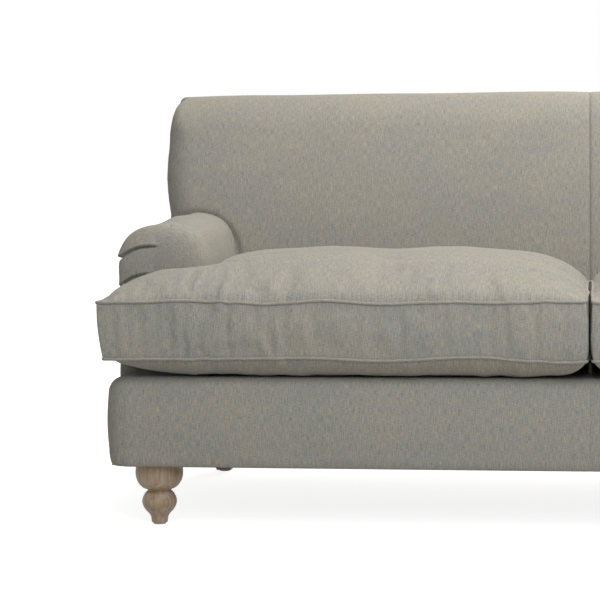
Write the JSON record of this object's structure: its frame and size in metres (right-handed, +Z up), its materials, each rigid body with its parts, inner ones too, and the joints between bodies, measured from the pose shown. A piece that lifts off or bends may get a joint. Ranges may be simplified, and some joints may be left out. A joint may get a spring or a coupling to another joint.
{
  "type": "english roll arm sofa",
  "caption": "English roll arm sofa: low pleated roll arms, leaning back, two loose T-shaped boxed cushions, padded front border and turned front feet.",
  "frame": {"origin": "on the floor, under the middle of the sofa's overall box", "axes": "+X to the right seen from in front, the seat faces -Y, +Z up"},
  "size_m": [1.904, 0.92, 0.867],
  "materials": {
    "linen": "plain woven linen blend, warm beige and cool grey yarns",
    "platform_cotton": "plain cotton",
    "dust_cloth": "black non-woven",
    "hessian": "coarse open weave",
    "webbing": "rubberised woven strap",
    "felt": "pressed felt",
    "wadding": "soft polyester wadding",
    "foam": "upholstery foam",
    "feather_filling": "foam wrapped in a feather-filled cotton case",
    "plywood": "birch plywood",
    "hardwood": "sawn beech",
    "limed_beech": "turned, limed, matt lacquer",
    "spring_steel": "oiled wire",
    "zinc_steel": "zinc plated",
    "glide_plastic": "nail-on nylon",
    "zip_plastic": "coil zip on a woven tape"
  },
  "bodies": {
    "sofa": {"arm_board_left": "hardwood", "arm_board_right": "hardwood", "arm_cover_left": "linen", "arm_cover_right": "linen", "arm_front_board_left": "plywood", "arm_front_board_right": "plywood", "arm_hessian": "hessian", "arm_lower_rail_left": "hardwood", "arm_lower_rail_right": "hardwood", "arm_pad_left": "foam", "arm_pad_right": "foam", "back_centre_post": "hardwood", "back_cover_left": "linen", "back_cover_right": "linen", "back_hessian": "hessian", "back_lower_rail": "hardwood", "back_pad": "foam", "back_post_left": "plywood", "back_post_right": "plywood", "back_top_rail": "hardwood", "back_webbing": "webbing", "border_cover_left": "linen", "border_cover_right": "linen", "border_pad": "foam", "centre_bearer": "hardwood", "corner_blocks": "hardwood", "deck_felt": "felt", "deck_foam": "foam", "dust_cover": "dust_cloth", "foot_bolts": "zinc_steel", "foot_glides": "glide_plastic", "foot_nuts": "zinc_steel", "frame_dowels": "hardwood", "front_foot_left": "limed_beech", "front_foot_right": "limed_beech", "front_rail": "hardwood", "outside_arm_cover_left": "linen", "outside_arm_cover_right": "linen", "outside_arm_wadding_left": "wadding", "outside_arm_wadding_right": "wadding", "outside_back_cover": "linen", "outside_back_wadding": "wadding", "platform_cloth": "platform_cotton", "rear_foot_left": "limed_beech", "rear_foot_right": "limed_beech", "rear_rail": "hardwood", "seat_springs": "spring_steel", "side_rail_left": "hardwood", "side_rail_right": "hardwood", "spring_clips": "zinc_steel", "spring_rail": "hardwood"},
    "cushion_left": {"cushion_core_left": "feather_filling", "cushion_cover_left": "linen", "cushion_welts_left": "linen", "cushion_zip_left": "zip_plastic"},
    "cushion_right": {"cushion_core_right": "feather_filling", "cushion_cover_right": "linen", "cushion_welts_right": "linen", "cushion_zip_right": "zip_plastic"}
  },
  "joints": [
    {"name": "cushion_left_lift", "type": "slide", "parent": "sofa", "child": "cushion_left", "axis": [0, 0, 1], "range_m": [0, 0.36]},
    {"name": "cushion_right_lift", "type": "slide", "parent": "sofa", "child": "cushion_right", "axis": [0, 0, 1], "range_m": [0, 0.36]}
  ]
}
